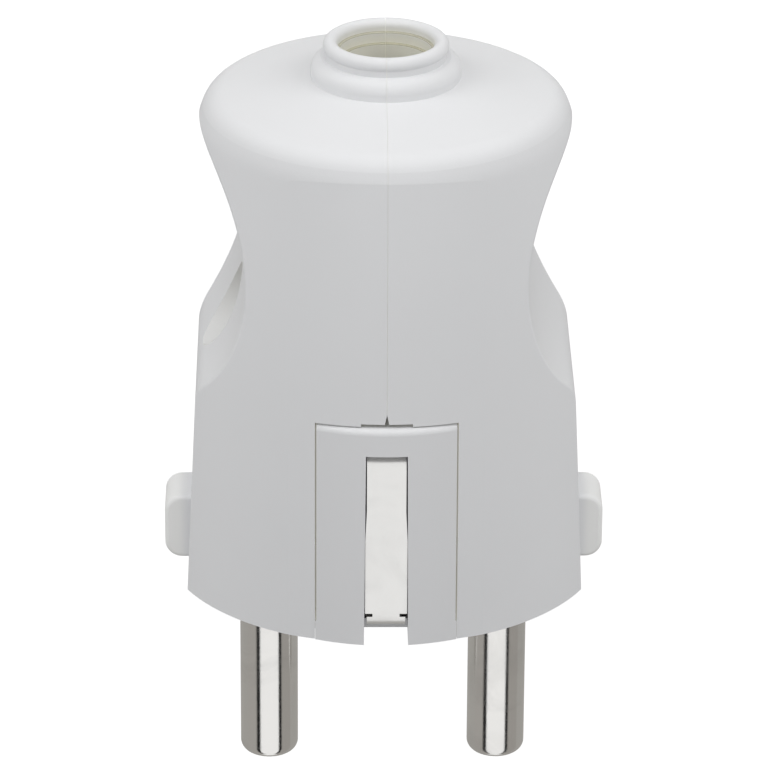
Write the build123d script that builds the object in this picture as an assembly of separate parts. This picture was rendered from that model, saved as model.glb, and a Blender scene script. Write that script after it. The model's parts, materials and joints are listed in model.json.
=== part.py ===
from build123d import *

import os
from math import asin, atan2, cos, degrees, hypot, pi, radians, sin, sqrt, tan

# A rewirable two-pole mains plug with earth contacts on two sides, for thick round pins.
# Two housing halves meet at X = 0 round a pin carrier, and one cross screw holds them.
# It is drawn pins down: Z rises from the engagement face at 0 to the cord inlet, X runs
# through both pins, and -Y is the front. The last step lays it on its back to rest.

# Pins, which follow the standard for this family
pin_diameter = 4.8
pin_reach = 19.0
pin_spacing = 19.0
pin_tip_round = 0.85
pin_root_radius = 2.7
pin_head_diameter = 7.6
pin_head_bottom = 4.6
pin_head_top = 15.2
pin_head_chamfer = 0.35
wire_hole_diameter = 3.2
wire_hole_height = 11.0

# Barrel, shoulder and dome of the housing
rim_radius = 18.05
shoulder_centre_radius = 10.85
shoulder_centre_height = 36.4
shoulder_round = 4.4
upper_round = 2.0
lower_round = 6.0
round_change = 24.0
dome_slope = 10.0
wall = 1.8
wall_overlap = 0.3

# Side flats, finger scoops and guide ribs
flat_half_width = 16.05
flat_draft = 2.6
scoop_radius = 15.3
waist_half_width = 11.2
waist_height = 28.35
scoop_corner_round = 3.5
scoop_edge_round = 0.4
rib_reach = 18.0
rib_height = 5.65
rib_width = 4.8
rib_round = 1.4
rib_edge_round = 0.4

# Shallow flattened band up the front and the back
band_half_width = 7.8
band_depth = 0.2
band_least_depth = 0.03
band_height = 30.0
band_margin = 1.5
band_stations = (-1, 7, 15, 23, 30, 36, 42)

# Collar round the cord inlet
ring_radius = 6.0
ring_top = 43.36
ring_crown_radius = 5.2
ring_crown_bulge = 0.22
ring_shoulder = 42.1
lip_height = 44.32
lip_centre_radius = 4.46
lip_round = 0.58
neck_radius = 4.85
grip_step_heights = (43.93, 43.03)
grip_step = 0.19
inlet_radius = 3.5

# Seam between the halves
seam_gap = 0.02
tongue_thickness = 0.6
tongue_reach = 1.0
tongue_cover = 0.55
tongue_above_panel = 2.0
tongue_top = 38.0
seam_notch = 0.4

# Panels of the pin carrier, one at the front and one at the back
panel_half_width = 5.56
panel_height = 18.65
panel_axis_offset = 3.7
panel_face_radius = 14.55
panel_top_round = 0.55
panel_foot_height = 1.6
joint_gap = 0.11
foot_gap = 0.02
relief_half_width = 2.05
relief_height = 0.22

# Carrier body
fit_gap = 0.1
plate_thickness = 3.2
rim_wall = 1.5
rim_wall_height = 9.0
flange_bottom = 6.1
flange_thickness = 1.8
flange_reach = 0.8
tower_radius = 5.2
partition_inside = 3.9
partition_thickness = 1.2
partition_height = 14.0
backing_overlap = 1.4
backing_depth = 1.6
bridge_post_depth = 1.6
bridge_post_overlap = 0.1
panel_past_rivet = 2.0
backing_below_top = 1.0
partition_setback = 3.0

# Earth contacts and their bridge
contact_thickness = 0.8
contact_half_width_top = 1.56
contact_half_width_foot = 1.68
contact_tail_half_width = 1.54
contact_narrowing = (9.0, 11.5)
contact_corner_cut = 0.35
contact_setback = 0.55
contact_bow = 0.3
contact_top_bend = 1.2
contact_face_curve = 60.0
contact_foot_bend = 1.3
contact_leg_height = 15.9
contact_foot_height = 1.3
contact_foot_length = 3.2
contact_side_gap = 0.09
contact_back_gap = 1.9
contact_notch = 0.3
contact_notch_height = 2.15
bridge_half_length = 12.0
bridge_half_width = 2.5
bridge_thickness = 1.2
bridge_corner_round = 0.8
rivet_place = 10.9
rivet_radius = 1.2
rivet_head_radius = 1.8
rivet_head_height = 0.6
rivet_post_gap = 0.3
rivet_edge_round = 0.3
leg_past_rivet = 0.4

# Screws, by thread size
terminal_thread = 3.5
terminal_head_radius = 2.8
terminal_head_height = 1.8
terminal_screw_gap = 0.3
terminal_screw_bite = 0.6
earth_screw_place = 5.3
earth_screw_depth = 5.0
earth_washer_side = 6.4
earth_washer_thickness = 1.0
housing_thread = 3.0
housing_head_radius = 2.75
housing_head_height = 2.0
housing_screw_height = 21.85
housing_screw_seat = 8.4
housing_screw_length = 17.0
counterbore_radius = 3.4
boss_wall = 1.0
boss_radius = 3.6
nut_side = 5.5
nut_thickness = 2.4
nut_place = 5.0
clamp_thread = 3.0
clamp_head_radius = 2.7
clamp_head_height = 1.9
slot_width = 0.8
slot_depth = 0.9
thread_gap = 0.05
screw_hole_gap = 0.25
screw_tip_gap = 0.8
screw_edge_round = 0.3

# Cord clamp
cord_radius = 3.5
clamp_below_shoulder = 3.0
clamp_screw_place = 8.0
clamp_bar_half_length = 10.6
clamp_bar_width = 6.0
clamp_bar_end_thickness = 2.2
clamp_arch_half_width = 5.2
clamp_arch_back = 5.6
clamp_arch_round = 1.6
clamp_boss_radius = 2.4
clamp_plane = 0.5
clamp_screw_reach = 9.0
cradle_rib_thickness = 1.2
cradle_rib_pitch = 2.8
cradle_half_width = 5.2
cradle_seam_gap = 0.8

# Locating pegs and hold-down ribs inside the housing
peg_place = 10.4
peg_below_clamp = 6.4
peg_radius = 1.2
peg_reach = 2.2
peg_boss_radius = 2.2
hold_rib_thickness = 0.8
hold_rib_place = 3.35
hold_rib_below_screw = 2.0

# Height above the engagement face of the point that the plug lies and balances on
balance_height = 13.0

# Radius of the barrel's long curve: vertical at the rim and tangent to the shoulder
rim_to_shoulder = rim_radius - shoulder_centre_radius
barrel_radius = (
    rim_to_shoulder ** 2 + shoulder_centre_height ** 2 - shoulder_round ** 2
) / (2 * (rim_to_shoulder - shoulder_round))
scoop_axis = waist_half_width + scoop_radius
pin_place = pin_spacing / 2
panel_front = panel_axis_offset + panel_face_radius
contact_face = panel_front - contact_setback
contact_middle = contact_face - contact_thickness / 2
bridge_top = contact_leg_height - contact_thickness / 2
bridge_bottom = bridge_top - bridge_thickness
collar_top = lip_height + lip_round
clamp_height = shoulder_centre_height - clamp_below_shoulder
peg_height = clamp_height - peg_below_clamp
reach = 30.0


def barrel_drop(height):
    """How far the barrel's surface has leaned in from the vertical at a height."""
    return barrel_radius - sqrt(barrel_radius ** 2 - height ** 2)


def slab(x0, x1, y0, y1, z0, z1):
    """Box between two corners."""
    return Pos((x0 + x1) / 2, (y0 + y1) / 2, (z0 + z1) / 2) * Box(x1 - x0, y1 - y0, z1 - z0)


def rod(radius, start, end):
    """Round bar between two points that lie along one axis."""
    length = (Vector(*end) - Vector(*start)).length
    plane = Plane(origin=start, z_dir=Vector(*end) - Vector(*start))
    return extrude(plane * Circle(radius), length)


def both_ways(shape):
    """A front piece and its copy at the back."""
    return shape + Rot(0, 0, 180) * shape


def barrel_form(radius, inset, bottom):
    """Barrel, shoulder and dome turned about Z, drawn inset inside the outer surface."""
    centre = radius - barrel_radius
    long_radius = barrel_radius - inset
    short_radius = shoulder_round - inset
    ball = Vector(radius - rim_to_shoulder, shoulder_centre_height)
    lean = atan2(ball.Y, ball.X - centre)
    crown = pi / 2 - radians(dome_slope)
    rim = (radius - inset, 0)
    top = arc_point(ball, short_radius, crown)
    bends = [arc_between(ball, short_radius, lean, crown)]
    origin = Vector(centre, 0)
    if inset == 0:
        lean, bends, top = outer_shoulder(origin, top, crown)
    apex = (0, top.Y + top.X * tan(radians(dome_slope)))
    outline = [arc_between(origin, long_radius, 0, lean), *bends, Line(top, apex)]
    if bottom < 0:
        outline += [Polyline(apex, (0, bottom), (radius - inset, bottom), rim)]
    else:
        outline += [Polyline(apex, (0, 0), rim)]
    return revolve(Plane.XZ * make_face(outline), Axis.Z)


def arc_point(centre, radius, turn):
    """Point on an arc of the barrel's profile, by its angle from the horizontal."""
    return centre + Vector(cos(turn), sin(turn)) * radius


def arc_between(centre, radius, start, end):
    """Arc of the barrel's profile between two angles from the horizontal."""
    return ThreePointArc(*(arc_point(centre, radius, turn) for turn in (start, (start + end) / 2, end)))


def outer_shoulder(origin, top, crown):
    """Outer shoulder: a small round under the dome that runs on into a wider one.

    The small round slides along the dome's slope until the wider one touches the barrel.
    It gives the barrel's new lean, both arcs and the dome's edge.
    """
    down = Vector(sin(crown), -cos(crown))
    change = radians(round_change)
    small = arc_point(top, -upper_round, crown)
    wide = arc_point(small, upper_round - lower_round, change)
    offset = wide - origin
    along = offset.dot(down)
    slide = sqrt(along ** 2 - offset.dot(offset) + (barrel_radius - lower_round) ** 2) - along
    small += down * slide
    wide += down * slide
    lean = atan2(wide.Y, wide.X - origin.X)
    bends = [arc_between(wide, lower_round, lean, change), arc_between(small, upper_round, change, crown)]
    return lean, bends, arc_point(small, upper_round, crown)


def side_form(inset, bottom):
    """Prism along Y whose outline has the drafted side flats and the two finger scoops."""
    lean = tan(radians(flat_draft))
    foot = flat_half_width - inset
    waist = foot - lean * waist_height
    right = [
        (0, bottom),
        (foot - lean * bottom, bottom),
        (waist, waist_height),
        (reach, waist_height),
        (reach, 2 * reach),
    ]
    left = [(-x, z) for x, z in reversed(right)]
    outline = make_face(Polyline(*right, *left, close=True))
    for side in (-1, 1):
        outline -= Pos(side * scoop_axis, waist_height) * Circle(scoop_radius + inset)
    corners = [v for v in outline.vertices() if 5 < v.Y < waist_height - 3]
    outline = fillet(corners, scoop_corner_round - inset)
    return extrude(Plane.XZ * outline, reach, both=True)


def housing_form(inset=0.0, bottom=0.0):
    """Closed form of the housing without ribs and collar, inset from its outer surface."""
    return barrel_form(rim_radius, inset, bottom) & side_form(inset, bottom)


def band_section(height):
    """Face of what the front band takes away at one height: outside a flatter arc."""
    radius = rim_radius - barrel_drop(height)
    depth = band_least_depth + band_depth * max(1 - height / band_height, 0)
    edge = sqrt(radius ** 2 - band_half_width ** 2)
    rise = radius - depth - edge
    flat_radius = (band_half_width ** 2 + rise ** 2) / (2 * rise)
    width = band_half_width + band_margin
    side = radius - depth - flat_radius + sqrt(flat_radius ** 2 - width ** 2)
    arc = ThreePointArc((-width, -side), (0, -(radius - depth)), (width, -side))
    back = Polyline((width, -side), (width, -reach), (-width, -reach), (-width, -side))
    return Pos(0, 0, height) * make_face([arc, back])


def outer_form():
    """Whole outside of the closed housing, with its bands, ribs and collar."""
    body = housing_form()
    cutter = loft([band_section(h) for h in band_stations])
    body -= both_ways(cutter)
    edges = [e for e in body.edges() if is_scoop_edge(e)]
    body = fillet(edges, scoop_edge_round)
    return body + side_ribs() + collar()


def is_scoop_edge(edge):
    """Whether an edge runs where a scoop meets the barrel or the dome."""
    middle = edge.center()
    near = abs(hypot(abs(middle.X) - scoop_axis, middle.Z - waist_height) - scoop_radius) < 0.3
    return near and abs(middle.Y) > 1.0 and middle.Z > waist_height - scoop_radius


def side_ribs():
    """Two guide ribs on the side flats, with rounded outer corners."""
    ribs = []
    for side in (-1, 1):
        x0 = side * (flat_half_width - wall)
        x1 = side * rib_reach
        rib = slab(min(x0, x1), max(x0, x1), -rib_width / 2, rib_width / 2, 0, rib_height)
        tips = rib.edges().filter_by(Axis.Y).sort_by(lambda e: -side * e.center().X)[:2]
        rib = fillet(tips, rib_round)
        sides = rib.faces().sort_by(Axis.Y)
        loops = [e for f in (sides[0], sides[-1]) for e in f.edges()]
        outer = [e for e in loops if side * e.center().X > flat_half_width - wall + 0.01]
        ribs.append(fillet(outer, rib_edge_round))
    return ribs[0] + ribs[1]


def collar():
    """Solid collar: a crowned ring, then a neck that carries a rounded lip."""
    root = shoulder_centre_height
    ring = Polyline((0, ring_top), (0, root), (ring_radius, root), (ring_radius, ring_shoulder))
    bend = (
        (ring_radius + ring_crown_radius) / 2 + ring_crown_bulge,
        (ring_shoulder + ring_top) / 2 + ring_crown_bulge,
    )
    crown = ThreePointArc((ring_radius, ring_shoulder), bend, (ring_crown_radius, ring_top))
    ring_face = make_face([ring, crown, Line((ring_crown_radius, ring_top), (0, ring_top))])
    neck = Polyline((0, root), (neck_radius, root), (neck_radius, lip_height), (0, lip_height), close=True)
    lip = Pos(lip_centre_radius, lip_height) * Circle(lip_round)
    fill = Polyline(
        (0, root), (lip_centre_radius, root), (lip_centre_radius, lip_height), (0, lip_height), close=True
    )
    profile = ring_face + make_face(neck) + lip + make_face(fill)
    return revolve(Plane.XZ * profile, Axis.Z)


def inlet_bore():
    """Stepped bore through the collar, narrowing from the lip inwards."""
    mouth = lip_centre_radius - lip_round
    bore = Pos(0, 0, lip_height + 1) * Cylinder(mouth, 2)
    top = lip_height
    radius = mouth
    for height in grip_step_heights:
        bore += slab_cylinder(radius, height, top)
        top = height
        radius -= grip_step
    return bore + slab_cylinder(inlet_radius, shoulder_centre_height, top)


def slab_cylinder(radius, z0, z1):
    """Upright cylinder between two heights."""
    return Pos(0, 0, (z0 + z1) / 2) * Cylinder(radius, z1 - z0)


def lip_funnel():
    """What the lip's rounded inner side leaves open above the bore."""
    mouth = lip_centre_radius - lip_round
    block = slab_cylinder(lip_centre_radius, lip_height, collar_top + 1)
    ring = Pos(0, 0, lip_height) * Torus(lip_centre_radius, lip_round)
    return block - ring + slab_cylinder(mouth, lip_height - fit_gap, lip_height)


def panel_window(half_width, top):
    """Opening through the front and back walls that the carrier's panels fill."""
    return both_ways(slab(-half_width, half_width, -reach, -rivet_place, -1, top))


def seam_tongue(gap):
    """Strip round the seam, within the wall, that one half has and the other takes."""
    outer = housing_form(tongue_cover - gap)
    inner = housing_form(tongue_cover + tongue_thickness + gap)
    bottom = panel_height + tongue_above_panel - gap
    return (outer - inner) & slab(-tongue_reach - gap, tongue_reach, -reach, reach, bottom, tongue_top + gap)


def screw_boss(side, radius, start):
    """Round boss along the housing screw, from one side's start out past the wall."""
    end = (side * reach, 0, housing_screw_height)
    return rod(radius, (side * start, 0, housing_screw_height), end)


def hold_ribs(side):
    """Two ribs that reach down from the wall to keep a pin's head in its seat."""
    ribs = []
    for y in (-hold_rib_place, hold_rib_place):
        x0 = side * pin_place
        x1 = side * (flat_half_width - wall / 2)
        top = housing_screw_height - hold_rib_below_screw
        half = hold_rib_thickness / 2
        ribs.append(slab(min(x0, x1), max(x0, x1), y - half, y + half, pin_head_top + fit_gap, top))
    return ribs[0] + ribs[1]


def peg_bosses(side):
    """Bosses in front of and behind the middle that line the halves up."""
    return both_sides_y(lambda y: rod(
        peg_boss_radius, (side * seam_gap / 2, y, peg_height), (side * waist_half_width, y, peg_height)
    ), peg_place)


def both_sides_y(maker, place):
    """A shape made at +place and -place along Y."""
    return maker(-place) + maker(place)


def clamp_bosses():
    """Bosses in the right half that the cord clamp's screws bite into."""
    return both_sides_y(lambda y: rod(
        clamp_boss_radius, (-clamp_plane, y, clamp_height), (reach, y, clamp_height)
    ), clamp_screw_place)


def cradle_ribs():
    """Two hollowed ribs in the right half that the cord is pressed into."""
    ribs = []
    for offset in (-cradle_rib_pitch / 2, cradle_rib_pitch / 2):
        z0 = clamp_height + offset - cradle_rib_thickness / 2
        ribs.append(slab(cradle_seam_gap, reach, -cradle_half_width, cradle_half_width,
                         z0, z0 + cradle_rib_thickness))
    return ribs[0] + ribs[1] - cord_way()


def cord_way():
    """Round way that the cord takes through the clamp bar and its cradle."""
    half = clamp_bar_width
    return slab_cylinder(cord_radius + fit_gap, clamp_height - half, clamp_height + half)


def housing_half(side, whole, cavity):
    """One half of the housing: its wall, window, groove, bosses and ribs."""
    near = seam_gap / 2
    half_space = slab(min(side * near, side * reach), max(side * near, side * reach), -reach, reach, -1, 60)
    inside = screw_boss(side, boss_radius, near) + hold_ribs(side) + peg_bosses(side)
    if side < 0:
        inside += screw_boss(side, counterbore_radius + boss_wall, housing_screw_seat - boss_wall)
    inner_form = housing_form(wall - wall_overlap)
    shell = (whole - cavity) & half_space
    shell += inside & inner_form & half_space
    if side > 0:
        shell += (clamp_bosses() + cradle_ribs()) & inner_form
    shell -= panel_window(panel_half_width + joint_gap, panel_height + joint_gap)
    relief_top = panel_height + joint_gap + relief_height
    shell -= panel_window(relief_half_width, relief_top)
    groove = housing_form(wall - flange_reach - fit_gap)
    shell -= groove & slab(-reach, reach, -reach, reach, flange_bottom - fit_gap,
                           flange_bottom + flange_thickness + fit_gap)
    shell -= seam_corner_notches()
    return shell


def seam_corner_notches():
    """Eased corners where the seam meets the top of each window."""
    top = panel_height + joint_gap + relief_height
    half = seam_notch / 2
    corners = [(-half, top - fit_gap), (half, top - fit_gap), (0, top + 2 * seam_notch)]
    outline = make_face(Polyline(*corners, close=True))
    return extrude(Plane.XZ * outline, reach, both=True)


def left_shell(whole, cavity):
    """Left half: it takes the screw's head, and has the tongue's groove and the sockets."""
    shell = housing_half(-1, whole, cavity)
    shell -= seam_tongue(fit_gap)
    shell -= rod(counterbore_radius, (-housing_screw_seat, 0, housing_screw_height),
                 (-reach, 0, housing_screw_height))
    shell -= rod(housing_thread / 2 + screw_hole_gap, (1, 0, housing_screw_height),
                 (-reach, 0, housing_screw_height))
    shell -= both_sides_y(lambda y: rod(
        peg_radius + fit_gap, (1, y, peg_height), (-peg_reach - fit_gap, y, peg_height)
    ), peg_place)
    return shell


def right_shell(whole, cavity):
    """Right half: it holds the nut, the clamp's bosses, the tongue and the pegs."""
    shell = housing_half(1, whole, cavity)
    shell += seam_tongue(0)
    shell += both_sides_y(lambda y: rod(
        peg_radius, (seam_gap, y, peg_height), (-peg_reach, y, peg_height)
    ), peg_place)
    depth = housing_screw_length - housing_screw_seat + screw_tip_gap
    shell -= rod(housing_thread / 2 + screw_hole_gap, (-1, 0, housing_screw_height),
                 (depth, 0, housing_screw_height))
    half = nut_side / 2 + fit_gap
    shell -= slab(nut_place - fit_gap, nut_place + nut_thickness + fit_gap, -half, half,
                  housing_screw_height - half, housing_screw_height + 2 * half)
    shell -= both_sides_y(lambda y: rod(
        clamp_thread / 2 + thread_gap, (-1, y, clamp_height), (clamp_screw_reach, y, clamp_height)
    ), clamp_screw_place)
    return shell


def panel_form(half_width, inner):
    """Block behind one panel's crowned face, from that face in to a depth."""
    crown = Pos(0, -panel_axis_offset, 0) * barrel_form(panel_face_radius, 0, 0)
    return crown & slab(-half_width, half_width, -reach, -inner, 0, panel_height)


def contact_slot(gap):
    """Tapered slot in the front panel that the earth contact lies in."""
    top = contact_leg_height + contact_thickness / 2 + gap
    w_top = contact_half_width_top + gap
    w_foot = contact_half_width_foot + gap
    outline = make_face(Polyline((-w_foot, -1), (w_foot, -1), (w_top, top), (-w_top, top), close=True))
    inner = contact_face - contact_thickness - contact_back_gap
    slot = extrude(Plane(origin=(0, -inner, 0), x_dir=(1, 0, 0), z_dir=(0, -1, 0)) * outline, reach)
    leg = slab(-w_top, w_top, -inner - 1, -rivet_place, contact_leg_height - contact_thickness / 2 - gap, top)
    foot_end = contact_middle - contact_bow - contact_foot_length - contact_thickness / 2
    foot = slab(-w_foot, w_foot, -inner - 1, -foot_end + gap,
                contact_foot_height - contact_thickness / 2 - gap,
                contact_foot_height + contact_thickness / 2 + gap)
    return slot + leg + foot


def pin_carrier():
    """Insulating base: plate, rim wall and flange, pin towers, panels and partitions."""
    inner = housing_form(wall + fit_gap)
    hollow = housing_form(wall + fit_gap + rim_wall)
    base = inner & slab(-reach, reach, -reach, reach, 0, plate_thickness)
    base += (inner - hollow) & slab(-reach, reach, -reach, reach, 0, rim_wall_height)
    flange = housing_form(wall - flange_reach) - hollow
    base += flange & slab(-reach, reach, -reach, reach, flange_bottom, flange_bottom + flange_thickness)
    for side in (-1, 1):
        tower = Pos(side * pin_place, 0, rim_wall_height / 2) * Cylinder(tower_radius, rim_wall_height)
        base += tower & inner
        x0, x1 = sorted((side * partition_inside, side * (partition_inside + partition_thickness)))
        depth = contact_face - partition_setback
        base += slab(x0, x1, -depth, depth, 0, partition_height) & inner
    inside = rivet_place + panel_past_rivet
    panel = panel_form(panel_half_width, inside)
    panel = ease_panel_top(panel)
    foot = panel_form(panel_half_width + joint_gap - foot_gap, inside)
    panel += foot & slab(-reach, reach, -reach, reach, 0, panel_foot_height)
    backing = slab(-panel_half_width - backing_overlap, panel_half_width + backing_overlap,
                   -reach, backing_depth - inside, 0, panel_height - backing_below_top) & inner
    post_start = -rivet_place + rivet_head_radius + rivet_post_gap
    post_half = partition_inside + bridge_post_overlap
    post = slab(-post_half, post_half, post_start, post_start + bridge_post_depth, 0, bridge_bottom)
    base += both_ways(panel + backing + post)
    base -= both_ways(contact_slot(contact_side_gap) + bridge_room())
    for side in (-1, 1):
        base -= pin_clearance(side)
    return base


def bridge_room():
    """Room in the front block for the bridge's end and both heads of its rivet."""
    half = bridge_half_width + fit_gap
    end = bridge_half_length + contact_thickness
    room = slab(-half, half, -end, 0, bridge_bottom, panel_height + 1)
    head = rivet_head_radius + 2 * fit_gap
    bottom = bridge_bottom - rivet_head_height - 2 * fit_gap
    return room + Pos(0, -rivet_place, 0) * slab_cylinder(head, bottom, bridge_bottom + fit_gap)


def ease_panel_top(panel):
    """Rounds the outer top edge of a panel."""
    face = panel.faces().sort_by(Axis.Z)[-1]
    edge = face.edges().sort_by(Axis.Y)[0]
    return fillet([edge], panel_top_round)


def pin_clearance(side):
    """Stepped hole that a pin is dropped into from inside."""
    shank = Pos(side * pin_place, 0, 0) * Cylinder(pin_root_radius + thread_gap, 4 * plate_thickness)
    head_top = rim_wall_height + 1
    head = Pos(side * pin_place, 0, (pin_head_bottom + head_top) / 2) * Cylinder(
        pin_head_diameter / 2 + fit_gap, head_top - pin_head_bottom)
    return shank + head


def contact_pin(side):
    """Turned pin with a cross-drilled head, its screw hole entering from the top."""
    r = pin_diameter / 2
    pin = slab_cylinder(r, -pin_reach, pin_head_bottom)
    pin = fillet(pin.edges().sort_by(Axis.Z)[:1], pin_tip_round)
    pin += slab_cylinder(pin_root_radius, 0, pin_head_bottom)
    head = Pos(0, 0, (pin_head_bottom + pin_head_top) / 2) * Cylinder(
        pin_head_diameter / 2, pin_head_top - pin_head_bottom)
    head = chamfer(head.edges().filter_by(GeomType.CIRCLE), pin_head_chamfer)
    pin += head
    pin -= rod(wire_hole_diameter / 2, (0, -reach, wire_hole_height), (0, reach, wire_hole_height))
    pin -= rod(terminal_thread / 2 + thread_gap, (0, 0, wire_hole_height), (0, 0, reach))
    return Pos(side * pin_place, 0, 0) * pin


def slotted_screw(head_radius, head_height, thread, length):
    """Cheese-head screw with its seat at the origin, its shank down and its head up."""
    head = Pos(0, 0, head_height / 2) * Cylinder(head_radius, head_height)
    head = fillet(head.edges().sort_by(Axis.Z)[-1:], screw_edge_round)
    head -= Pos(0, 0, head_height - slot_depth / 2) * Box(4 * head_radius, slot_width, slot_depth)
    shank = Pos(0, 0, -length / 2) * Cylinder(thread / 2, length)
    shank = chamfer(shank.edges().sort_by(Axis.Z)[:1], screw_edge_round)
    return head + shank


def terminal_screw(side):
    """Screw in a pin's head, backed off from the empty wire hole."""
    tip = wire_hole_height + wire_hole_diameter / 2 - terminal_screw_bite
    seat = pin_head_top + terminal_screw_gap
    screw = slotted_screw(terminal_head_radius, terminal_head_height, terminal_thread, seat - tip)
    return Pos(side * pin_place, 0, seat) * screw


def earth_contact():
    """Front contact strip: foot and upper leg bent inwards, its face bowed outwards."""
    inner = contact_middle - contact_bow
    foot_end = inner - contact_foot_length
    leg_end = rivet_place - rivet_head_radius - leg_past_rivet
    centre = FilletPolyline(
        (-leg_end, contact_leg_height), (-inner, contact_leg_height),
        (-contact_middle, (contact_leg_height + contact_foot_height) / 2),
        (-inner, contact_foot_height), (-foot_end, contact_foot_height),
        radius=[contact_top_bend, contact_face_curve, contact_foot_bend],
    )
    ribbon = make_face(centre.offset_2d(contact_thickness / 2, side=Side.BOTH, kind=Kind.INTERSECTION))
    strip = extrude(Plane.YZ * ribbon, contact_half_width_foot, both=True)
    strip &= extrude(Plane.XZ * contact_outline(), reach, both=True)
    strip &= slab(-reach, reach, -reach, -leg_end, 0, reach)
    cut = Rot(0, 45, 0) * Box(contact_corner_cut, 2, contact_corner_cut)
    strip -= Pos(-contact_half_width_top, -contact_face, contact_leg_height + contact_thickness / 2) * cut
    strip -= Pos(0, -rivet_place, contact_leg_height) * Cylinder(rivet_radius + thread_gap, 2)
    return strip


def contact_outline():
    """Front outline of a contact: narrow tail, notch at the bend, wide face, narrower top."""
    notch_top = contact_notch_height + contact_notch
    right = [
        (contact_tail_half_width, -1),
        (contact_tail_half_width, contact_notch_height),
        (contact_half_width_foot - 2 * contact_notch, contact_notch_height),
        (contact_half_width_foot - 2 * contact_notch, notch_top),
        (contact_half_width_foot, notch_top),
        (contact_half_width_foot, contact_narrowing[0]),
        (contact_half_width_top, contact_narrowing[1]),
        (contact_half_width_top, contact_leg_height + 1),
    ]
    left = [(-x, z) for x, z in reversed(right)]
    return make_face(Polyline(*right, *left, close=True))


def earth_bridge():
    """Flat bar that joins both contacts and carries the earth terminal."""
    bar = slab(-bridge_half_width, bridge_half_width, -bridge_half_length, bridge_half_length,
               bridge_bottom, bridge_top)
    bar = fillet(bar.edges().filter_by(Axis.Z), bridge_corner_round)
    for y in (-rivet_place, rivet_place):
        bar -= Pos(0, y, bridge_top) * Cylinder(rivet_radius + thread_gap, 4)
    bar -= Pos(0, -earth_screw_place, bridge_top) * Cylinder(terminal_thread / 2 + thread_gap, 4)
    return bar


def earth_rivet():
    """Rivet through the front contact's leg and the bridge."""
    top = contact_leg_height + contact_thickness / 2
    shank = slab_cylinder(rivet_radius, bridge_bottom, top)
    upper = slab_cylinder(rivet_head_radius, top, top + rivet_head_height)
    upper = fillet(upper.edges().sort_by(Axis.Z)[-1:], rivet_edge_round)
    lower = slab_cylinder(rivet_head_radius, bridge_bottom - rivet_head_height, bridge_bottom)
    return Pos(0, -rivet_place, 0) * (shank + upper + lower)


def earth_washer():
    """Square clamp washer under the earth screw's head."""
    half = earth_washer_side / 2
    washer = slab(-half, half, -half, half, bridge_top, bridge_top + earth_washer_thickness)
    washer -= Pos(0, 0, bridge_top) * Cylinder(terminal_thread / 2 + screw_hole_gap, 4)
    return Pos(0, -earth_screw_place, 0) * washer


def earth_screw():
    """Screw that presses the earth conductor on the bridge."""
    seat = bridge_top + earth_washer_thickness
    screw = slotted_screw(terminal_head_radius, terminal_head_height, terminal_thread, earth_screw_depth)
    return Pos(0, -earth_screw_place, seat) * screw


def clamp_bar():
    """Bar arched over the cord, screwed down at both ends."""
    half = clamp_bar_width / 2
    ends = slab(-clamp_plane - clamp_bar_end_thickness, -clamp_plane, -clamp_bar_half_length,
                clamp_bar_half_length, clamp_height - half, clamp_height + half)
    arch = slab(-clamp_arch_back, -clamp_plane, -clamp_arch_half_width, clamp_arch_half_width,
                clamp_height - half, clamp_height + half)
    backs = arch.edges().filter_by(Axis.Z).sort_by(Axis.X)[:2]
    bar = ends + fillet(backs, clamp_arch_round)
    bar -= cord_way()
    for y in (-clamp_screw_place, clamp_screw_place):
        bar -= rod(clamp_thread / 2 + screw_hole_gap, (1, y, clamp_height), (-reach, y, clamp_height))
    return bar


def clamp_screw(y):
    """Screw through one end of the clamp bar into its boss."""
    seat = -clamp_plane - clamp_bar_end_thickness
    length = clamp_screw_reach - screw_tip_gap - seat
    screw = slotted_screw(clamp_head_radius, clamp_head_height, clamp_thread, length)
    return Pos(seat, y, clamp_height) * Rot(0, -90, 0) * screw


def housing_screw():
    """Cross screw, its head at the bottom of the counterbore in the left scoop."""
    screw = slotted_screw(housing_head_radius, housing_head_height, housing_thread, housing_screw_length)
    return Pos(-housing_screw_seat, 0, housing_screw_height) * Rot(0, -90, 0) * screw


def housing_nut():
    """Square nut held in the right half's pocket."""
    half = nut_side / 2
    nut = slab(nut_place, nut_place + nut_thickness, -half, half, housing_screw_height - half,
               housing_screw_height + half)
    end = (reach, 0, housing_screw_height)
    return nut - rod(housing_thread / 2 + thread_gap, (0, 0, housing_screw_height), end)


def all_pieces():
    """Every piece by its name, pins down."""
    whole = outer_form() - inlet_bore() - lip_funnel()
    cavity = housing_form(wall, -1)
    pieces = {
        "left_shell": left_shell(whole, cavity),
        "right_shell": right_shell(whole, cavity),
        "pin_carrier": pin_carrier(),
        "earth_bridge": earth_bridge(),
        "earth_clamp_washer": earth_washer(),
        "earth_terminal_screw": earth_screw(),
        "cord_clamp_bar": clamp_bar(),
        "housing_screw": housing_screw(),
        "housing_nut": housing_nut(),
    }
    for name, side in (("left", -1), ("right", 1)):
        pieces[name + "_pin"] = contact_pin(side)
        pieces[name + "_terminal_screw"] = terminal_screw(side)
    for name, turn, y in (("front", 0, -clamp_screw_place), ("back", 180, clamp_screw_place)):
        pieces[name + "_earth_contact"] = Rot(0, 0, turn) * earth_contact()
        pieces[name + "_earth_rivet"] = Rot(0, 0, turn) * earth_rivet()
        pieces[name + "_clamp_screw"] = clamp_screw(y)
    return pieces


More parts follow.
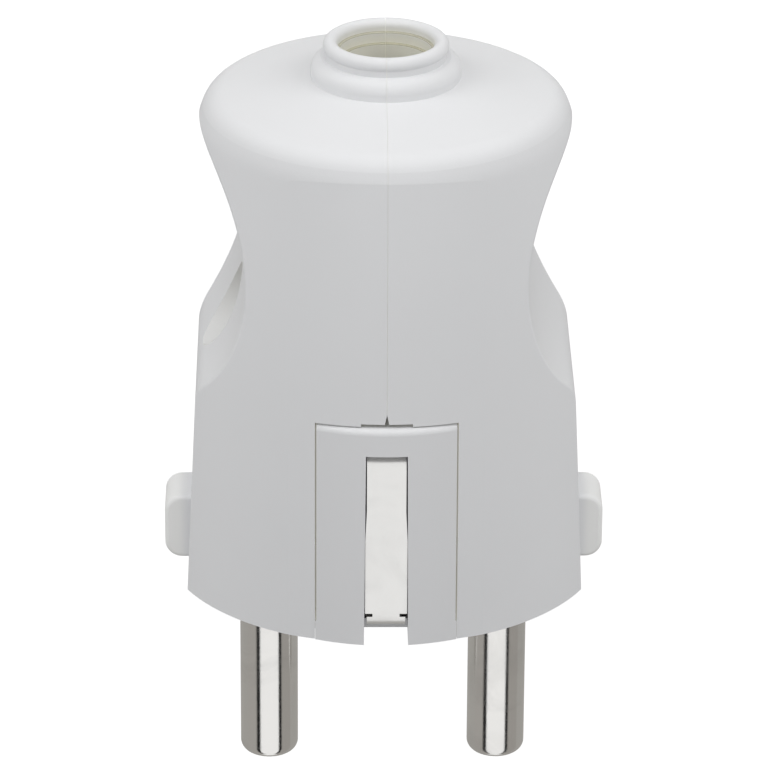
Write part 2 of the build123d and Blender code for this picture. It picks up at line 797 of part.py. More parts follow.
def resting_place(pieces):
    """Where the plug lies on its back: the cord end dips until the balance point touches."""
    dip = degrees(asin(balance_height / barrel_radius))
    turn = Rot(-90 - dip, 0, 0)
    boxes = [(turn * piece).bounding_box() for piece in pieces.values()]
    across = min(b.min.X for b in boxes) + max(b.max.X for b in boxes)
    along = min(b.min.Y for b in boxes) + max(b.max.Y for b in boxes)
    return Pos(-across / 2, -along / 2, -min(b.min.Z for b in boxes)) * turn


def main():
    """Builds each piece, lays it down and writes it."""
    os.makedirs("parts", exist_ok=True)
    pieces = all_pieces()
    place = resting_place(pieces)
    for name, piece in pieces.items():
        export_step(place * piece, "parts/" + name + ".step")


main()
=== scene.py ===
"""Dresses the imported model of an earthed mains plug: finishes, floor, soft studio light and camera.

The plug lies on its back. Its own frame, used for the camera and the finishes, has its origin in the
middle of the engagement face, `along` towards the cord inlet, `across` from the left pin to the right
pin and `inward` from the front earth contact to the back one.
"""

import json
import logging
import math
from dataclasses import dataclass, field
from enum import Enum
from typing import Any

import bpy
import numpy as np
from mathutils import Matrix, Vector

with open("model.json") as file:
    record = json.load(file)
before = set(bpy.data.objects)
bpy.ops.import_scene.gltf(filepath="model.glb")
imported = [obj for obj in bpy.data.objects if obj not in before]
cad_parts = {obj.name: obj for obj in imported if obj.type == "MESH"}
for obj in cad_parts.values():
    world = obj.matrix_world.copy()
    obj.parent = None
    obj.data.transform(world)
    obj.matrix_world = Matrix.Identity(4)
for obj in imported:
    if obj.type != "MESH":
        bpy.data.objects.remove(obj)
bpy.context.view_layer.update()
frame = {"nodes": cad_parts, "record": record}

LOG = logging.getLogger("plug_scene")
MM = 0.001
IMAGE_SIDE_PX = 766
SENSOR_MM = 36.0
PIN_MOUNT_DEPTH_MM = 9.2
LAMP_AIM = Vector((0.0, 0.0, 0.015))
CARD_TURNS = 25
PIT_SCALE = 0.6
PIT_DEPTH = 0.5
STREAK_SCALE = 0.2
SMEAR_START = 0.42
SMEAR_FULL = 0.72

Colour = tuple[float, float, float]


class Lay(Enum):
    """Direction that fine lines on a metal surface run in, in the plug's own frame."""

    ROUND_THE_PIN = (1.0, 1.0, 60.0)
    ALONG_THE_STRIP = (60.0, 60.0, 1.0)
    NO_LAY = (1.0, 1.0, 1.0)


@dataclass(frozen=True)
class PlugFrame:
    """The plug's own frame inside the row frame.

    Args:
        origin: middle of the engagement face, in metres.
        across: unit vector from the left pin to the right pin.
        inward: unit vector from the front face to the back face.
        along: unit vector from the pins towards the cord inlet.
    """

    origin: Vector
    across: Vector
    inward: Vector
    along: Vector

    @classmethod
    def from_record(cls, record: dict[str, Any]) -> "PlugFrame":
        """Works the frame out from the two pin mounts.

        Args:
            record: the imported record.

        Returns:
            The plug's frame.
        """
        mounts = {mount["name"]: mount for mount in record["mounts"]}
        left = Vector(mounts["left_pin"]["pos_m"])
        right = Vector(mounts["right_pin"]["pos_m"])
        along = -Vector(mounts["left_pin"]["axis"]).normalized()
        across = (right - left).normalized()
        middle = (left + right) / 2
        face = middle + along * (PIN_MOUNT_DEPTH_MM * MM)
        return cls(face, across, along.cross(across).normalized(), along)

    def point(self, x: float, y: float, z: float) -> Vector:
        """Point of the row frame, in metres, for plug coordinates in millimetres."""
        return self.origin + (self.across * x + self.inward * y + self.along * z) * MM

    def turn(self) -> Matrix:
        """Rotation that takes plug directions to row directions."""
        return Matrix((self.across, self.inward, self.along)).transposed()


@dataclass(frozen=True)
class HollowPlaces:
    """Where the plastic's bore, counterbore, narrow joints and thin ribs lie, and how much painted shade and
    glow they get.

    Places are in millimetres of the plug's own frame: side is the distance from the middle plane, depth
    the distance from the plane through the pins, radius the distance from the plug's axis and height the
    distance from the engagement face. Shares are parts of the painted glow, an emission that stands in for
    light the translucent plastic carries into its joints and for light missing on the ribs and in the
    counterbore.

    Args:
        bore_radius: radii at which the bore's painted warm shade starts and is full.
        bore_top: heights at which the painted shade starts and is full, from the lip inwards.
        bore_foot: heights at which the painted shade ends and is still full.
        step_heights: heights of the bore's two steps.
        step_half: half the height of the painted shade line at a step's edge.
        panel_side: side of the upright joints beside the panels.
        panel_top: height of the joint over the panels.
        panel_depth: depth of the housing's outside at the upright joints, level with the face.
        panel_lean: how much that depth falls per millimetre of height.
        panel_sunk: distances below the outside at which the glow starts and is full.
        panel_radius: radii at which the upper joint's glow starts and is full.
        joint_foot: height from which the upright joints glow, just above the face.
        joint_half: half the width that counts as joint.
        relief_half: half the width of the relief in the middle of the upper joint.
        relief_share: share of the glow in the relief.
        seam_half: half the width of the seam between the housing's halves.
        seam_share: share of the glow in the seam.
        rib_side: sides at which a guide rib's glow starts and is full.
        rib_top: height under which the ribs lie.
        rib_share: share of the glow in the ribs.
        well_end: where the counterbore's glow ends, across.
        well_height: height of the counterbore's axis.
        well_radius: radius of the counterbore.
        well_share: share of the glow in the counterbore.
    """

    bore_radius: tuple[float, float] = (4.45, 4.1)
    bore_top: tuple[float, float] = (45.0, 43.2)
    bore_foot: tuple[float, float] = (20.0, 25.0)
    step_heights: tuple[float, float] = (43.93, 43.03)
    step_half: float = 0.06
    panel_side: float = 5.615
    panel_top: float = 18.82
    panel_depth: float = 17.1
    panel_lean: float = 0.0385
    panel_sunk: tuple[float, float] = (0.05, 0.3)
    panel_radius: tuple[float, float] = (17.05, 16.85)
    joint_foot: float = 0.1
    joint_half: float = 0.105
    relief_half: float = 2.05
    relief_share: float = 0.3
    seam_half: float = 0.015
    seam_share: float = 1.4
    rib_side: tuple[float, float] = (16.06, 17.0)
    rib_top: float = 6.0
    rib_share: float = 0.9
    well_end: float = -8.0
    well_height: float = 21.85
    well_radius: float = 3.41
    well_share: float = 0.8


@dataclass(frozen=True)
class PhotoCamera:
    """Camera that stands where the photograph was taken from.

    Args:
        elevation_deg: height of the view above the engagement plane's horizon, towards the cord inlet.
        azimuth_deg: turn of the view about the plug's axis.
        roll_deg: turn of the picture about its centre.
        aim_mm: height above the engagement face of the point that the view is taken round.
        distance_mm: distance from that point.
        focal_px: focal length in pixels of the photograph.
        centre_px: where the lens axis meets the picture.
    """

    elevation_deg: float = 24.824
    azimuth_deg: float = -0.805
    roll_deg: float = -0.315
    aim_mm: float = 13.0
    distance_mm: float = 450.0
    focal_px: float = 5494.2
    centre_px: tuple[float, float] = (384.10, 402.11)

    def build(self, plug: PlugFrame) -> bpy.types.Object:
        """Makes the camera and gives it to the scene.

        Args:
            plug: the plug's frame.

        Returns:
            The camera object.
        """
        elevation = math.radians(self.elevation_deg)
        azimuth = math.radians(self.azimuth_deg)
        roll = math.radians(self.roll_deg)
        se, ce = math.sin(elevation), math.cos(elevation)
        sa, ca = math.sin(azimuth), math.cos(azimuth)
        back = Vector((sa * ce, -ca * ce, se))
        right = Vector((ca, sa, 0.0))
        up = Vector((-sa * se, ca * se, ce))
        picture_right = right * math.cos(roll) - up * math.sin(roll)
        picture_up = right * math.sin(roll) + up * math.cos(roll)
        turn = plug.turn()
        columns = Matrix((turn @ picture_right, turn @ picture_up, turn @ back)).transposed()
        place = plug.point(0.0, 0.0, self.aim_mm) + turn @ back * (self.distance_mm * MM)
        data = bpy.data.cameras.new("photo_camera")
        data.sensor_width = SENSOR_MM
        data.lens = self.focal_px * SENSOR_MM / IMAGE_SIDE_PX
        data.shift_x = (IMAGE_SIDE_PX / 2 - self.centre_px[0]) / IMAGE_SIDE_PX
        data.shift_y = (self.centre_px[1] - IMAGE_SIDE_PX / 2) / IMAGE_SIDE_PX
        data.clip_start = 0.01
        camera = bpy.data.objects.new("photo_camera", data)
        camera.matrix_world = Matrix.Translation(place) @ columns.to_4x4()
        bpy.context.scene.collection.objects.link(camera)
        bpy.context.scene.camera = camera
        return camera


class NodeSheet:
    """Small helper that adds and joins nodes of one tree."""

    def __init__(self, tree: bpy.types.NodeTree) -> None:
        """Starts on a tree, which is emptied."""
        self.tree = tree
        tree.nodes.clear()

    def add(self, kind: str, values: dict[Any, Any] | None = None, **settings: Any) -> bpy.types.Node:
        """Adds a node.

        Args:
            kind: the node's type name.
            values: input values by socket name or number.
            **settings: attributes to set on the node.

        Returns:
            The new node.
        """
        node = self.tree.nodes.new(kind)
        for name, value in settings.items():
            setattr(node, name, value)
        for socket, value in (values or {}).items():
            node.inputs[socket].default_value = value
        return node

    def join(self, output: bpy.types.NodeSocket, target: bpy.types.NodeSocket) -> None:
        """Links one socket to another."""
        self.tree.links.new(output, target)

    def sums(self, operation: str, first: Any, second: Any = 0.0, third: Any = 0.0) -> bpy.types.NodeSocket:
        """Adds a Math node.

        Args:
            operation: the Math node's operation.
            first: a socket or a number.
            second: a socket or a number.
            third: a socket or a number.

        Returns:
            The result's socket.
        """
        node = self.add("ShaderNodeMath", operation=operation)
        for place, value in enumerate((first, second, third)):
            if isinstance(value, bpy.types.NodeSocket):
                self.join(value, node.inputs[place])
            else:
                node.inputs[place].default_value = value
        return node.outputs[0]

    def product(self, first: Any, *others: Any) -> bpy.types.NodeSocket:
        """Multiplies sockets or numbers with each other."""
        for other in others:
            first = self.sums("MULTIPLY", first, other)
        return first

    def ramp(self, value: bpy.types.NodeSocket, start: float, end: float) -> bpy.types.NodeSocket:
        """Adds a smooth ramp.

        Args:
            value: the socket that it follows.
            start: value at which the ramp is 0.
            end: value at which the ramp is 1.

        Returns:
            The ramp's socket.
        """
        node = self.add(
            "ShaderNodeMapRange", {"From Min": start, "From Max": end}, interpolation_type="SMOOTHSTEP"
        )
        self.join(value, node.inputs["Value"])
        return node.outputs["Result"]


class EffectGroups:
    """Shader node groups that the finishes share, each built once."""

    def __init__(self) -> None:
        """Builds every group."""
        self.mould_grain = self._mould_grain()
        self.handling = self._handling()
        self.tool_lines = self._tool_lines()
        self.hollows = self._hollows()

    @staticmethod
    def _start(name: str, inputs: dict[str, tuple[str, float]], outputs: dict[str, str]) -> NodeSheet:
        """Makes an empty group with named sockets.

        Args:
            name: the group's name.
            inputs: socket name to its type and default.
            outputs: socket name to its type.

        Returns:
            A sheet on the group's tree.
        """
        tree = bpy.data.node_groups.new(name, "ShaderNodeTree")
        for label, (kind, default) in inputs.items():
            socket = tree.interface.new_socket(name=label, in_out="INPUT", socket_type=kind)
            if kind == "NodeSocketFloat":
                socket.default_value = default
        for label, kind in outputs.items():
            tree.interface.new_socket(name=label, in_out="OUTPUT", socket_type=kind)
        return NodeSheet(tree)

    def _mould_grain(self) -> bpy.types.NodeTree:
        """Fine even grain of a spark-eroded mould, with a broad shade over it.

        Returns:
            The group: Vector and Scale in; Height and Shade, both about 0 to 1, out.
        """
        sheet = self._start(
            "mould_grain",
            {"Vector": ("NodeSocketVector", 0.0), "Scale": ("NodeSocketFloat", 9000.0)},
            {"Height": "NodeSocketFloat", "Shade": "NodeSocketFloat"},
        )
        inside = sheet.add("NodeGroupInput")
        outside = sheet.add("NodeGroupOutput")
        fine = sheet.add("ShaderNodeTexNoise", {"Detail": 2.0, "Roughness": 0.55})
        sheet.join(inside.outputs["Vector"], fine.inputs["Vector"])
        sheet.join(inside.outputs["Scale"], fine.inputs["Scale"])
        pits = sheet.add("ShaderNodeTexVoronoi", feature="SMOOTH_F1")
        pits.inputs["Smoothness"].default_value = 0.6
        sheet.join(inside.outputs["Vector"], pits.inputs["Vector"])
        sheet.join(sheet.product(inside.outputs["Scale"], PIT_SCALE), pits.inputs["Scale"])
        height = sheet.sums("MULTIPLY_ADD", pits.outputs["Distance"], PIT_DEPTH, fine.outputs["Fac"])
        sheet.join(height, outside.inputs["Height"])
        broad = sheet.add("ShaderNodeTexNoise", {"Scale": 70.0, "Detail": 3.0, "Roughness": 0.5})
        sheet.join(inside.outputs["Vector"], broad.inputs["Vector"])
        sheet.join(broad.outputs["Fac"], outside.inputs["Shade"])
        return sheet.tree

    def _handling(self) -> bpy.types.NodeTree:
        """Faint smears and rubbed spots that come from being held.

        Returns:
            The group: Vector in; Smear, from 0 to 1, out.
        """
        sheet = self._start(
            "handling_marks", {"Vector": ("NodeSocketVector", 0.0)}, {"Smear": "NodeSocketFloat"}
        )
        inside = sheet.add("NodeGroupInput")
        outside = sheet.add("NodeGroupOutput")
        wide = sheet.add(
            "ShaderNodeTexNoise", {"Scale": 190.0, "Detail": 5.0, "Roughness": 0.62, "Distortion": 0.8}
        )
        sheet.join(inside.outputs["Vector"], wide.inputs["Vector"])
        sheet.join(sheet.ramp(wide.outputs["Fac"], SMEAR_START, SMEAR_FULL), outside.inputs["Smear"])
        return sheet.tree

    def _tool_lines(self) -> bpy.types.NodeTree:
        """Fine lines left by a turning tool or a rolling mill, drawn in the lay of the given vector.

        Returns:
            The group: Vector and Scale in; Height and Streak, both about 0 to 1, out.
        """
        sheet = self._start(
            "tool_lines",
            {"Vector": ("NodeSocketVector", 0.0), "Scale": ("NodeSocketFloat", 400.0)},
            {"Height": "NodeSocketFloat", "Streak": "NodeSocketFloat"},
        )
        inside = sheet.add("NodeGroupInput")
        outside = sheet.add("NodeGroupOutput")
        fine = sheet.add("ShaderNodeTexNoise", {"Detail": 4.0, "Roughness": 0.7})
        sheet.join(inside.outputs["Vector"], fine.inputs["Vector"])
        sheet.join(inside.outputs["Scale"], fine.inputs["Scale"])
        broad = sheet.add("ShaderNodeTexNoise", {"Detail": 2.0})
        sheet.join(inside.outputs["Vector"], broad.inputs["Vector"])
        sheet.join(sheet.product(inside.outputs["Scale"], STREAK_SCALE), broad.inputs["Scale"])
        sheet.join(fine.outputs["Fac"], outside.inputs["Height"])
        sheet.join(broad.outputs["Fac"], outside.inputs["Streak"])
        return sheet.tree

    def _hollows(self) -> bpy.types.NodeTree:
        """Where the bore's painted warm shade, the painted shade lines at its steps and the painted glow
        lie.

        Returns:
            The group: Vector, in the plug's own frame, in; PaintedBoreTint, PaintedStepShade and
                PaintedGlow, from 0 up, out.
        """
        sheet = self._start(
            "painted_light_masks",
            {"Vector": ("NodeSocketVector", 0.0)},
            {"PaintedBoreTint": "NodeSocketFloat", "PaintedStepShade": "NodeSocketFloat", "PaintedGlow": "NodeSocketFloat"},
        )
        at = HollowPlaces()
        inside = sheet.add("NodeGroupInput")
        outside = sheet.add("NodeGroupOutput")
        scaled = sheet.add("ShaderNodeVectorMath", {1: (1 / MM, 1 / MM, 1 / MM)}, operation="MULTIPLY")
        sheet.join(inside.outputs["Vector"], scaled.inputs[0])
        parts = sheet.add("ShaderNodeSeparateXYZ")
        sheet.join(scaled.outputs[0], parts.inputs[0])
        across = parts.outputs["X"]
        side = sheet.sums("ABSOLUTE", across)
        depth = sheet.sums("ABSOLUTE", parts.outputs["Y"])
        height = parts.outputs["Z"]
        flat = sheet.add("ShaderNodeVectorMath", {1: (1.0, 1.0, 0.0)}, operation="MULTIPLY")
        sheet.join(scaled.outputs[0], flat.inputs[0])
        length = sheet.add("ShaderNodeVectorMath", operation="LENGTH")
        sheet.join(flat.outputs[0], length.inputs[0])
        radius = length.outputs["Value"]

        # Painted warm shade over the bore's walls and painted shade lines at the edges of its steps.
        bore = sheet.product(sheet.ramp(radius, *at.bore_radius), sheet.ramp(height, *at.bore_foot))
        sheet.join(sheet.product(bore, sheet.ramp(height, *at.bore_top)), outside.inputs["PaintedBoreTint"])
        steps = [sheet.sums("COMPARE", height, level, at.step_half) for level in at.step_heights]
        sheet.join(sheet.product(bore, sheet.sums("MAXIMUM", *steps)), outside.inputs["PaintedStepShade"])

        # Painted glow: emission in the upright and upper joints, the seam, the guide ribs and the
        # counterbore stands in for light.
        surface = sheet.sums("MULTIPLY_ADD", height, -at.panel_lean, at.panel_depth)
        upright = sheet.product(
            sheet.ramp(sheet.sums("SUBTRACT", surface, depth), *at.panel_sunk),
            sheet.sums("COMPARE", side, at.panel_side, at.joint_half),
            sheet.sums("LESS_THAN", height, at.panel_top),
            sheet.sums("GREATER_THAN", height, at.joint_foot),
        )
        beside = sheet.sums("GREATER_THAN", side, at.relief_half)
        level = sheet.product(
            sheet.sums("COMPARE", height, at.panel_top, 2 * at.joint_half),
            sheet.sums("LESS_THAN", side, at.panel_side + at.joint_half),
            sheet.ramp(radius, *at.panel_radius),
            sheet.sums("MULTIPLY_ADD", beside, 1 - at.relief_share, at.relief_share),
        )
        seam = sheet.product(
            sheet.sums("COMPARE", side, 0.0, at.seam_half),
            sheet.sums("GREATER_THAN", height, at.panel_top),
            at.seam_share,
        )
        rib = sheet.product(
            sheet.ramp(side, *at.rib_side), sheet.sums("LESS_THAN", height, at.rib_top), at.rib_share
        )
        rise = sheet.sums("POWER", sheet.sums("SUBTRACT", height, at.well_height), 2.0)
        well = sheet.product(
            sheet.sums("LESS_THAN", sheet.sums("MULTIPLY_ADD", depth, depth, rise), at.well_radius**2),
            sheet.sums("LESS_THAN", across, at.well_end),
            at.well_share,
        )
        glow = upright
        for place in (level, seam, rib, well):
            glow = sheet.sums("MAXIMUM", glow, place)
        sheet.join(glow, outside.inputs["PaintedGlow"])
        return sheet.tree


def plug_coordinates(sheet: NodeSheet, row: bpy.types.NodeSocket, plug: PlugFrame) -> bpy.types.NodeSocket:
    """Turns row coordinates into the plug's own.

    Args:
        sheet: the material's sheet.
        row: the object coordinates, in the row frame.
        plug: the plug's frame.

    Returns:
        The coordinates across, inward and along, in metres.
    """
    lay = sheet.add("ShaderNodeMapping", vector_type="TEXTURE")
    lay.inputs["Location"].default_value = plug.origin
    lay.inputs["Rotation"].default_value = plug.turn().to_euler()
    sheet.join(row, lay.inputs["Vector"])
    return lay.outputs["Vector"]


@dataclass(frozen=True)
class MouldedPlastic:
    """Moulded thermoplastic with a fine matt grain, painted warm shade in its bore, painted shade lines at
    the bore's steps and a painted glow in its joints, seam, ribs and counterbore.

    Args:
        name: the material's name.
        colour: base colour, linear.
        roughness: middle of the roughness.
        grain_scale: grains per metre, about.
        grain_depth_m: height of the grain.
        shade_range: how far the broad shade moves the colour.
        painted_bore_tint: painted warm shade on the bore's walls, what they keep of red, green and blue,
            standing in for light through its thin lip.
        painted_step_shade: painted shade lines at the edges of the bore's steps, what they keep of the
            colour.
        painted_glow_colour: colour of the painted glow, an emission in hollows, joints and thin ribs that
            stands in for light.
        refraction: index of refraction.
        shine: how strong the surface's gloss is.
        rub_gloss: how much smoother rubbed spots are.
        grain_rough: how far the grain moves the roughness.
        grain_strength: how strongly the grain bends the light.
    """

    name: str
    colour: Colour
    roughness: float = 0.46
    grain_scale: float = 7000.0
    grain_depth_m: float = 0.000006
    shade_range: float = 0.02
    painted_bore_tint: Colour = (1.0, 0.98, 0.86)
    painted_step_shade: float = 0.7
    painted_glow_colour: Colour = (0.09, 0.087, 0.07)
    refraction: float = 1.49
    shine: float = 0.42
    rub_gloss: float = 0.05
    grain_rough: float = 0.04
    grain_strength: float = 0.6

    def build(self, groups: EffectGroups, plug: PlugFrame) -> bpy.types.Material:
        """Makes the material.

        Args:
            groups: the shared effect groups.
            plug: the plug's frame.

        Returns:
            The material.
        """
        material = bpy.data.materials.new(self.name)
        material.use_nodes = True
        sheet = NodeSheet(material.node_tree)
        out = sheet.add("ShaderNodeOutputMaterial")
        shader = sheet.add("ShaderNodeBsdfPrincipled", {
            "IOR": self.refraction,
            "Specular IOR Level": self.shine,
            "Emission Color": (*self.painted_glow_colour, 1.0),
        })
        sheet.join(shader.outputs[0], out.inputs[0])
        place = sheet.add("ShaderNodeTexCoord")
        grain = sheet.add("ShaderNodeGroup", node_tree=groups.mould_grain)
        grain.inputs["Scale"].default_value = self.grain_scale
        sheet.join(place.outputs["Object"], grain.inputs["Vector"])
        marks = sheet.add("ShaderNodeGroup", node_tree=groups.handling)
        sheet.join(place.outputs["Object"], marks.inputs["Vector"])
        light = tuple(min(part * (1 + self.shade_range), 1.0) for part in self.colour)
        dark = tuple(part * (1 - self.shade_range) for part in self.colour)
        blend = sheet.add("ShaderNodeMix", data_type="RGBA")
        blend.inputs["A"].default_value = (*dark, 1.0)
        blend.inputs["B"].default_value = (*light, 1.0)
        sheet.join(grain.outputs["Shade"], blend.inputs["Factor"])
        hollows = sheet.add("ShaderNodeGroup", node_tree=groups.hollows)
        sheet.join(plug_coordinates(sheet, place.outputs["Object"], plug), hollows.inputs["Vector"])
        # Painted warm shade: the bore's walls are tinted and darkened in the base colour.
        warm = sheet.add("ShaderNodeMix", data_type="RGBA", blend_type="MULTIPLY")
        warm.inputs["B"].default_value = (*self.painted_bore_tint, 1.0)
        sheet.join(hollows.outputs["PaintedBoreTint"], warm.inputs["Factor"])
        sheet.join(blend.outputs["Result"], warm.inputs["A"])
        # Painted shade: thin dark lines at the edges of the bore's steps.
        edge = sheet.add("ShaderNodeMix", data_type="RGBA", blend_type="MULTIPLY")
        edge.inputs["B"].default_value = (*[self.painted_step_shade * part for part in self.painted_bore_tint], 1.0)
        sheet.join(hollows.outputs["PaintedStepShade"], edge.inputs["Factor"])
        sheet.join(warm.outputs["Result"], edge.inputs["A"])
        sheet.join(edge.outputs["Result"], shader.inputs["Base Color"])
        # Painted glow: emission that stands in for light in the joints, the seam, the ribs and the
        # counterbore.
        sheet.join(hollows.outputs["PaintedGlow"], shader.inputs["Emission Strength"])
        rub = sheet.sums("MULTIPLY_ADD", marks.outputs["Smear"], -self.rub_gloss, self.roughness)
        rough = sheet.sums("MULTIPLY_ADD", grain.outputs["Height"], self.grain_rough, rub)
        sheet.join(rough, shader.inputs["Roughness"])
        bump = sheet.add("ShaderNodeBump", {"Strength": self.grain_strength, "Distance": self.grain_depth_m})
        sheet.join(grain.outputs["Height"], bump.inputs["Height"])
        sheet.join(bump.outputs["Normal"], shader.inputs["Normal"])
        return material


@dataclass(frozen=True)
class WorkedMetal:
    """Plain or plated metal with the lines of the tool that shaped it.

    Args:
        name: the material's name.
        colour: base colour, linear.
        roughness: middle of the roughness.
        lay: which way the fine lines run.
        line_scale: lines per metre, about.
        line_depth_m: height of the lines.
        tarnish: how far smears darken the colour.
        line_rough: how far the lines move the roughness.
        smear_rough: how much rougher smears are.
        line_strength: how strongly the lines bend the light.
    """

    name: str
    colour: Colour
    roughness: float
    lay: Lay
    line_scale: float = 900.0
    line_depth_m: float = 0.000004
    tarnish: float = 0.08
    line_rough: float = 0.08
    smear_rough: float = 0.06
    line_strength: float = 0.5

    def build(self, groups: EffectGroups, plug: PlugFrame) -> bpy.types.Material:
        """Makes the material.

        Args:
            groups: the shared effect groups.
            plug: the plug's frame, which the lines follow.

        Returns:
            The material.
        """
        material = bpy.data.materials.new(self.name)
        material.use_nodes = True
        sheet = NodeSheet(material.node_tree)
        out = sheet.add("ShaderNodeOutputMaterial")
        shader = sheet.add("ShaderNodeBsdfPrincipled", {"Metallic": 1.0})
        sheet.join(shader.outputs[0], out.inputs[0])
        place = sheet.add("ShaderNodeTexCoord")
        stretch = sheet.add("ShaderNodeMapping")
        stretch.inputs["Scale"].default_value = self.lay.value
        sheet.join(plug_coordinates(sheet, place.outputs["Object"], plug), stretch.inputs["Vector"])
        lines = sheet.add("ShaderNodeGroup", node_tree=groups.tool_lines)
        lines.inputs["Scale"].default_value = self.line_scale
        sheet.join(stretch.outputs["Vector"], lines.inputs["Vector"])
        marks = sheet.add("ShaderNodeGroup", node_tree=groups.handling)
        sheet.join(place.outputs["Object"], marks.inputs["Vector"])
        blend = sheet.add("ShaderNodeMix", data_type="RGBA")
        blend.inputs["A"].default_value = (*self.colour, 1.0)
        dull = tuple(part * (1 - self.tarnish) for part in self.colour)
        blend.inputs["B"].default_value = (*dull, 1.0)
        sheet.join(marks.outputs["Smear"], blend.inputs["Factor"])
        sheet.join(blend.outputs["Result"], shader.inputs["Base Color"])
        least = self.roughness - self.line_rough / 2
        rough = sheet.sums("MULTIPLY_ADD", lines.outputs["Streak"], self.line_rough, least)
        rough = sheet.sums("MULTIPLY_ADD", marks.outputs["Smear"], self.smear_rough, rough)
        sheet.join(rough, shader.inputs["Roughness"])
        bump = sheet.add("ShaderNodeBump", {"Strength": self.line_strength, "Distance": self.line_depth_m})
        sheet.join(lines.outputs["Height"], bump.inputs["Height"])
        sheet.join(bump.outputs["Normal"], shader.inputs["Normal"])
        return material


HOUSING_WHITE = MouldedPlastic("housing_white_plastic", (0.792, 0.797, 0.808))
CARRIER_WHITE = MouldedPlastic(
    "carrier_white_plastic", (0.77, 0.774, 0.785), roughness=0.42, grain_scale=9000.0
)
CLAMP_WHITE = MouldedPlastic("clamp_white_plastic", (0.74, 0.74, 0.73), roughness=0.5)
PIN_NICKEL = WorkedMetal("pin_satin_nickel", (0.80, 0.79, 0.77), 0.11, Lay.ROUND_THE_PIN)
STRIP_NICKEL = WorkedMetal(
    "strip_soft_nickel", (0.785, 0.78, 0.765), 0.3, Lay.ALONG_THE_STRIP, tarnish=0.04
)
PLAIN_BRASS = WorkedMetal("bridge_plain_brass", (0.72, 0.53, 0.24), 0.32, Lay.ALONG_THE_STRIP)
ZINC_STEEL = WorkedMetal("screw_zinc_steel", (0.62, 0.63, 0.64), 0.3, Lay.NO_LAY, line_scale=2500.0)


@dataclass
class SubAssembly:
    """CAD nodes that are dressed alike.

    Args:
        title: what the pieces are.
        finishes: node name to its finish.
    """

    title: str
    finishes: dict[str, MouldedPlastic | WorkedMetal] = field(default_factory=dict)

    def dress(self, nodes: dict[str, bpy.types.Object], groups: EffectGroups, plug: PlugFrame) -> None:
        """Gives each node its finish.

        Args:
            nodes: the CAD nodes by name.
            groups: the shared effect groups.
            plug: the plug's frame.
        """
        for name, finish in self.finishes.items():
            material = bpy.data.materials.get(finish.name) or finish.build(groups, plug)
            node = nodes[name]
            node.data.materials.clear()
            node.data.materials.append(material)
            LOG.info("%s: %s in %s", self.title, name, finish.name)


def plug_assemblies() -> list[SubAssembly]:
    """Lists the plug's sub-assemblies with their finishes.

    Returns:
        The sub-assemblies in the order they are dressed.
    """
    sides = ("front", "back")
    hands = ("left", "right")
    return [
        SubAssembly("housing", {f"{hand}_shell": HOUSING_WHITE for hand in hands}),
        SubAssembly("carrier", {"pin_carrier": CARRIER_WHITE}),
        SubAssembly("pins", {f"{hand}_pin": PIN_NICKEL for hand in hands}),
        SubAssembly("earth strips", {f"{side}_earth_contact": STRIP_NICKEL for side in sides}),
        SubAssembly("earth bridge", {"earth_bridge": PLAIN_BRASS, "front_earth_rivet": PLAIN_BRASS,
                                     "back_earth_rivet": PLAIN_BRASS}),
        SubAssembly("terminals", {"earth_clamp_washer": ZINC_STEEL, "earth_terminal_screw": ZINC_STEEL,
                                  "left_terminal_screw": ZINC_STEEL, "right_terminal_screw": ZINC_STEEL}),
        SubAssembly("cord clamp", {"cord_clamp_bar": CLAMP_WHITE, "front_clamp_screw": ZINC_STEEL,
                                   "back_clamp_screw": ZINC_STEEL}),
        SubAssembly("housing screw", {"housing_screw": ZINC_STEEL, "housing_nut": ZINC_STEEL}),
    ]


@dataclass(frozen=True)
class SoftLamp:
    """Large square lamp aimed at the plug.

    Args:
        name: the lamp's name.
        place: where it stands, in metres, in the row frame.
        side: its side, in metres.
        watts: its power.
        mirrored: whether shiny surfaces show it.
    """

    name: str
    place: tuple[float, float, float]
    side: float
    watts: float
    mirrored: bool = True

    def build(self) -> bpy.types.Object:
        """Makes the lamp, turned towards the plug."""
        data = bpy.data.lights.new(self.name, "AREA")
        data.shape = "SQUARE"
        data.size = self.side
        data.energy = self.watts
        lamp = bpy.data.objects.new(self.name, data)
        lamp.location = self.place
        lamp.visible_glossy = self.mirrored
        lamp.rotation_euler = (LAMP_AIM - Vector(self.place)).to_track_quat("-Z", "Y").to_euler()
        bpy.context.scene.collection.objects.link(lamp)
        return lamp


@dataclass(frozen=True)
class MirrorCard:
    """Card that only shiny surfaces show: part of a round wall about the plug's axis.

    Args:
        name: the card's name.
        turn_deg: where it starts and ends round the axis, from the front towards the right pin's side.
        shade: its brightness, linear.
        radius_m: distance from the axis.
        reach_m: where it starts and ends along the axis.
    """

    name: str
    turn_deg: tuple[float, float]
    shade: Colour
    radius_m: float = 0.6
    reach_m: tuple[float, float] = (-2.4, 1.2)

    def build(self, plug: PlugFrame) -> bpy.types.Object:
        """Makes the card.

        A point of the surface lies at the radius times the sine of the turn across, and at the radius
        times its cosine towards the front; the second parameter runs along the axis.

        Args:
            plug: the plug's frame.

        Returns:
            The card.
        """
        turn = np.radians(np.linspace(*self.turn_deg, CARD_TURNS))
        along = np.linspace(*self.reach_m, 2)
        angle, reach = np.meshgrid(turn, along, indexing="ij")
        local = np.stack([self.radius_m * np.sin(angle), -self.radius_m * np.cos(angle), reach], axis=-1)
        basis = np.array([plug.across, plug.inward, plug.along])
        points = local.reshape(-1, 3) @ basis + np.array(plug.origin)
        first = np.arange(len(turn) - 1)[:, None] * 2
        faces = first + np.array([[0, 1, 3, 2]])
        return glossy_card(self.name, points, faces, self.shade)


